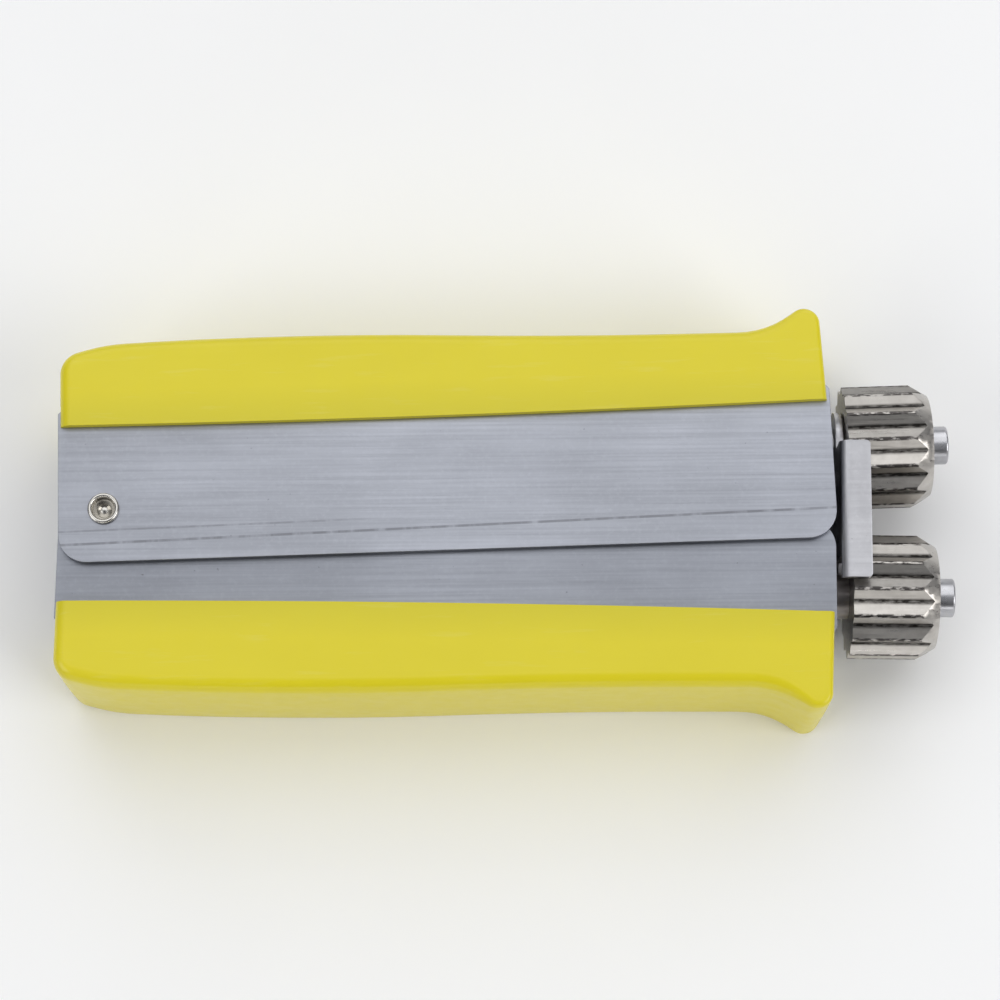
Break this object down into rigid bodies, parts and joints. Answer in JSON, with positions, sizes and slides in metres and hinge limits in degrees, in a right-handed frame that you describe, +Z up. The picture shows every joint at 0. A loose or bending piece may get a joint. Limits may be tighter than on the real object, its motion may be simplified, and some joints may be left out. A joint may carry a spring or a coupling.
{
  "type": "case back opener",
  "caption": "Squeeze-handle watchmaker's tool: two sheet-steel channels with moulded grips, hinged at the rear, carrying toothed rollers at the nose.",
  "frame": {"origin": "under the middle of the tool as it lies on its side, on the plane it rests on", "axes": "+X from the rear rivet to the rollers, +Y towards the handle whose frame is outermost, +Z up through the thickness"},
  "size_m": [0.1292, 0.06, 0.0228],
  "materials": {
    "frame_steel": "satin bluish-grey sheet steel, faint lengthwise brush lines",
    "grip_yellow": "smooth moulded yellow plastic, soft sheen",
    "zinc_fasteners": "dull zinc-plated steel",
    "rivet_nickel": "bright rolled nickel",
    "spring_steel": "dark oiled spring wire",
    "bracket_steel": "light grey satin sheet steel",
    "axle_steel": "turned grey steel",
    "bushing_steel": "dark turned steel",
    "black_washer": "blackened steel",
    "roller_nickel": "nickel-plated, warm grey, milled grooves"
  },
  "bodies": {
    "lower_handle": {"lower_frame": "frame_steel", "lower_grip": "grip_yellow", "lower_grip_screws": "zinc_fasteners", "pivot_rivet": "rivet_nickel", "pivot_sleeve": "zinc_fasteners", "return_spring": "spring_steel", "lower_axle_screw": "axle_steel", "lower_bushing": "bushing_steel", "lower_axle_nut": "zinc_fasteners", "lower_lock_washer": "zinc_fasteners", "lower_front_washer": "black_washer"},
    "upper_handle": {"upper_frame": "frame_steel", "upper_grip": "grip_yellow", "upper_grip_screws": "zinc_fasteners", "upper_axle_screw": "axle_steel", "upper_bushing": "bushing_steel", "upper_axle_nut": "zinc_fasteners", "upper_lock_washer": "zinc_fasteners", "upper_front_washer": "black_washer", "upper_spacer": "zinc_fasteners", "bridge_bracket": "bracket_steel"},
    "upper_roller": {"upper_roller": "roller_nickel"},
    "lower_roller": {"lower_roller": "roller_nickel"}
  },
  "joints": [
    {"name": "handle_squeeze", "type": "hinge", "parent": "lower_handle", "child": "upper_handle", "pos_m": [-0.0577, 0.00074, 0.0114], "axis": [0, 0, 1], "range_deg": [-2.1, 0], "stiffness_Nm_per_rad": 0.114, "springref_deg": 28.65, "deforming": ["return_spring"]},
    {"name": "upper_roller_spin", "type": "hinge", "parent": "upper_handle", "child": "upper_roller", "pos_m": [0.05508, 0.01126, 0.0114], "axis": [0.9997, 0.0236, 0], "continuous": true},
    {"name": "lower_roller_spin", "type": "hinge", "parent": "lower_handle", "child": "lower_roller", "pos_m": [0.05505, -0.01126, 0.0114], "axis": [0.9997, -0.0236, 0], "continuous": true}
  ]
}
